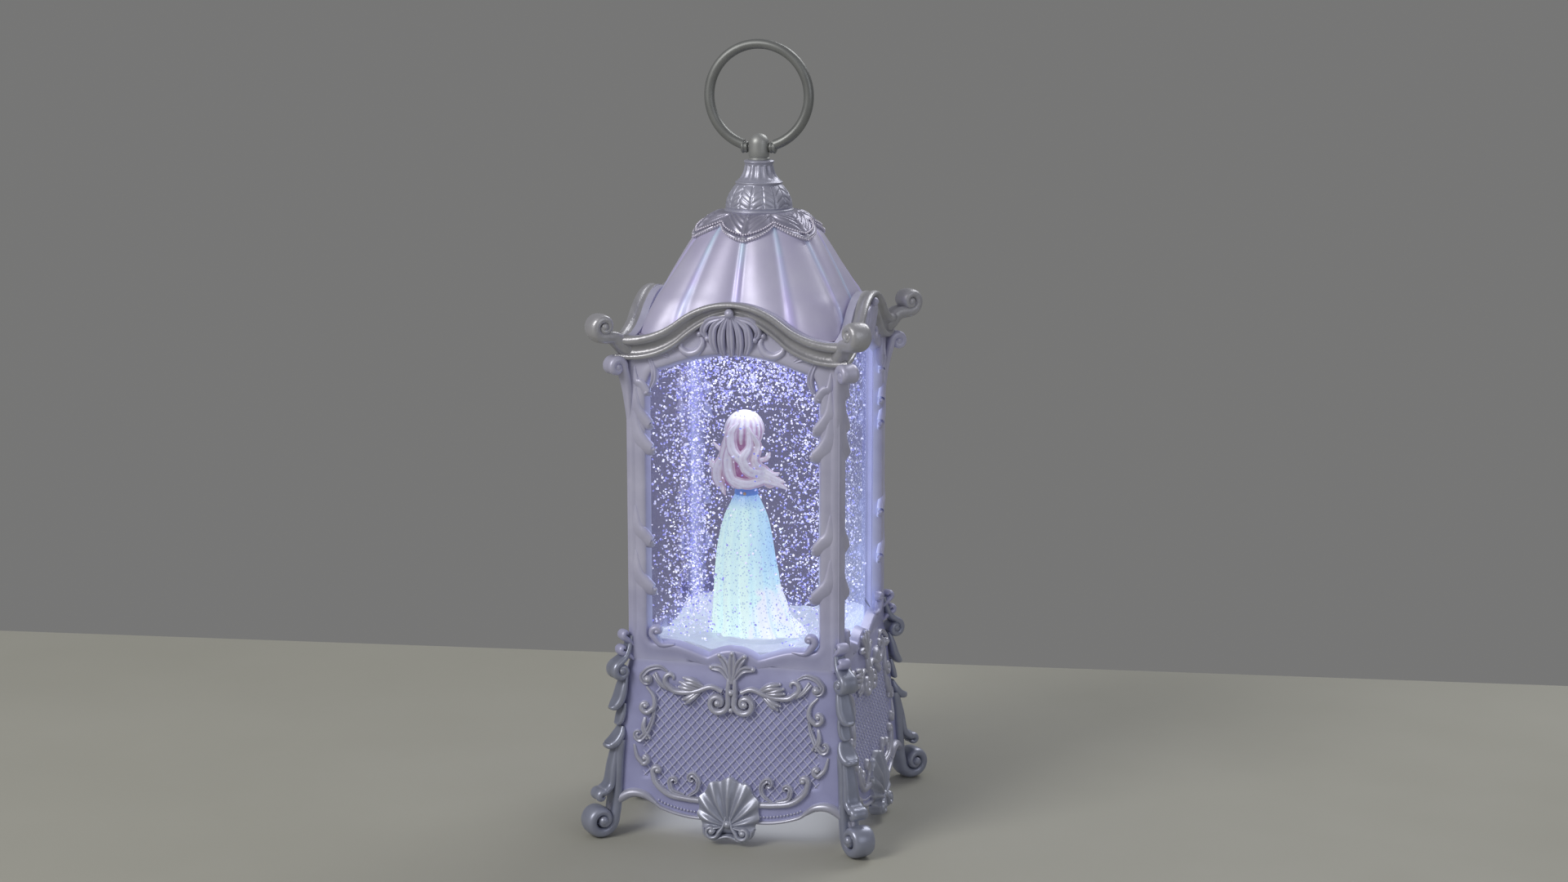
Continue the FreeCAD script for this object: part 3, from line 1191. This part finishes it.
CIRCUIT_BACK_Y = base_half(CIRCUIT_Z) - BASE_WALL - CIRCUIT_BACK_GAP
CIRCUIT_Y = (CIRCUIT_BACK_Y - CIRCUIT_LONG, CIRCUIT_BACK_Y)
SWITCH_Y = CIRCUIT_BACK_Y - SWITCH_FROM_BACK
BUTTON_Y = CIRCUIT_BACK_Y - BUTTON_FROM_BACK


def circuit_posts():
    return [
        (x, y)
        for x in (CIRCUIT_X[0] + CIRCUIT_POST_INSET, CIRCUIT_X[1] - CIRCUIT_POST_INSET)
        for y in (CIRCUIT_Y[0] + CIRCUIT_POST_INSET, CIRCUIT_Y[1] - CIRCUIT_POST_INSET)
    ]


SWITCH_LOW_Z = CIRCUIT_Z - SWITCH_HIGH
TACT_LOW_Z = CIRCUIT_Z - TACT_HIGH


def switch_cavity(gap):
    """The room for the slider's shoe inside the switch, or the shoe itself with no gap and no travel."""
    long = SLIDER_LONG + 2 * gap + (SLIDER_TRAVEL if gap else 0)
    start = SWITCH_X - SLIDER_LONG / 2 - gap
    half_wide = SLIDER_WIDE / 2 + gap
    high = SWITCH_LOW_Z + 0.6 * SWITCH_HIGH + gap
    low = SWITCH_LOW_Z - (1 if gap else 0)
    return block((start, start + long), (SWITCH_Y - half_wide, SWITCH_Y + half_wide), (low, high))


CIRCUIT_TOP_Z = CIRCUIT_Z + BOARD_THICK
CIRCUIT_MIDDLE_X = (CIRCUIT_X[0] + CIRCUIT_X[1]) / 2


def around(middle, size):
    return middle - size / 2, middle + size / 2


def make_control_board():
    """The circuit board with its slide switch, push switch, chip and socket, each a separate solid."""
    board = block(CIRCUIT_X, CIRCUIT_Y, (CIRCUIT_Z, CIRCUIT_TOP_Z))
    switch_x = around(SWITCH_X + SLIDER_TRAVEL / 2, SWITCH_LONG)
    switch = block(switch_x, around(SWITCH_Y, SWITCH_WIDE), (SWITCH_LOW_Z, CIRCUIT_Z))
    switch = switch.cut(switch_cavity(SLIDER_GAP))
    tact = block(around(BUTTON_X, TACT_WIDE), around(BUTTON_Y, TACT_WIDE), (TACT_LOW_Z, CIRCUIT_Z))
    chip_z = (CIRCUIT_TOP_Z, CIRCUIT_TOP_Z + CHIP_HIGH)
    chip = block(around(CIRCUIT_MIDDLE_X, CHIP_WIDE), around(SWITCH_Y, CHIP_LONG), chip_z)
    return Part.makeCompound([board, switch, tact, chip, make_usb_socket()])


def make_usb_socket():
    end = base_half(CIRCUIT_TOP_Z + USB_HIGH)
    middle_z = CIRCUIT_TOP_Z + USB_HIGH / 2
    socket = block(around(CIRCUIT_MIDDLE_X, USB_WIDE), (end - USB_LONG, end), around(middle_z, USB_HIGH))
    mouth_x = around(CIRCUIT_MIDDLE_X, 0.8 * USB_WIDE)
    return socket.cut(block(mouth_x, (end - 0.6 * USB_LONG, end + 1), around(middle_z, 0.6 * USB_HIGH)))


def usb_slot():
    wide = USB_WIDE + 2 * USB_GAP
    slot_z = around(CIRCUIT_TOP_Z + USB_HIGH / 2, USB_HIGH + 2 * USB_GAP)
    return block(around(CIRCUIT_MIDDLE_X, wide), (TOWER_HALF, 2 * TOWER_HALF), slot_z)


def make_switch_slider():
    shoe = switch_cavity(0)
    knob_z = (COVER_Z - SLIDER_BELOW_COVER, SWITCH_LOW_Z)
    knob = block(around(SWITCH_X, SLIDER_LONG), around(SWITCH_Y, SLIDER_WIDE), knob_z)
    return shoe.fuse(knob).removeSplitter()


def make_music_button():
    cap = cylinder(BUTTON_R, COVER_Z - BUTTON_BELOW_COVER, COVER_TOP_Z, BUTTON_X, BUTTON_Y)
    flange_top = COVER_TOP_Z + BUTTON_FLANGE_THICK
    flange = cylinder(BUTTON_FLANGE_R, COVER_TOP_Z, flange_top, BUTTON_X, BUTTON_Y)
    stem = cylinder(BUTTON_STEM_R, flange_top, TACT_LOW_Z - BUTTON_TRAVEL - BUTTON_GAP, BUTTON_X, BUTTON_Y)
    return cap.fuse(flange).fuse(stem).removeSplitter()


# The whole lantern, one entry for each separate piece
def build():
    rails = on_sides(make_cornice())
    scrolls = on_corners(make_cornice_scroll(rails.values()))
    medallions = on_sides(make_medallion())
    nodes = {
        "ring_handle": make_ring_handle(),
        "finial_knob": make_finial_knob(),
        "finial": make_finial(),
        "leaf_collar": make_leaf_collar(),
        "roof_dome": make_roof_dome(),
        "roof_plate": make_roof_plate(),
        "roof_led_board": make_roof_led_board(),
        "roof_led_lead": roof_lead(LEAD_R),
        "tank_shell": make_tank_shell(),
        "tank_floor": make_tank_floor(),
        "tank_gasket": gasket_ring(WATER_FLOOR_Z - GASKET_DEEP, WATER_FLOOR_Z, PRESS_GAP),
        "tank_screws": make_tank_screws(),
        "tank_pivots": make_tank_pivots(),
        "fill_plug": make_fill_plug(),
        "snow_mound": make_snow_mound(),
        "glitter_water": make_glitter_water(),
        "turntable": make_turntable(),
        "turntable_magnets": make_magnets(TURNTABLE_LOW_Z),
        "figurine_gown": make_figurine_gown(),
        "figurine_body": make_figurine_body(),
        "figurine_hair": make_figurine_hair(),
        "impeller": make_impeller(),
        "base_shell": make_base_shell(),
        "base_cover": make_base_cover(),
        "case_screws": make_case_screws(),
        "mechanism_plate": make_mechanism_plate(),
        "motor": make_motor(),
        "motor_rotor": make_motor_rotor(),
        "impeller_driver": make_impeller_driver(),
        "idler_gear": make_idler_gear(),
        "drive_gear": make_drive_gear(),
        "driver_magnets": make_magnets(DRIVER_TOP_Z - MAGNET_THICK),
        "light_board": make_light_board(),
        "battery_tray": make_battery_tray(),
        "battery_cells": make_battery_cells(),
        "battery_contacts": make_battery_contacts(),
        "battery_door": make_battery_door(),
        "speaker": make_speaker(),
        "control_board": make_control_board(),
        "switch_slider": make_switch_slider(),
        "music_button": make_music_button(),
        "cornice_scrolls": Part.makeCompound(list(scrolls.values())),
        "shell_medallions": Part.makeCompound(list(medallions.values())),
    }
    nodes.update({f"cornice_{side}": rail for side, rail in rails.items()})
    nodes.update({f"frame_{side}": frame for side, frame in on_sides(make_frame()).items()})
    nodes.update({f"pilaster_{corner}": shape for corner, shape in on_corners(make_pilaster()).items()})
    nodes.update({f"leg_{corner}": shape for corner, shape in on_corners(make_leg()).items()})
    return nodes


os.makedirs("parts", exist_ok=True)
for node, shape in build().items():
    shape.exportStep(os.path.join("parts", node + ".step"))
    print(f"{node}: {len(shape.Solids)} solids, {shape.Volume:.1f} mm3, valid {shape.isValid()}")
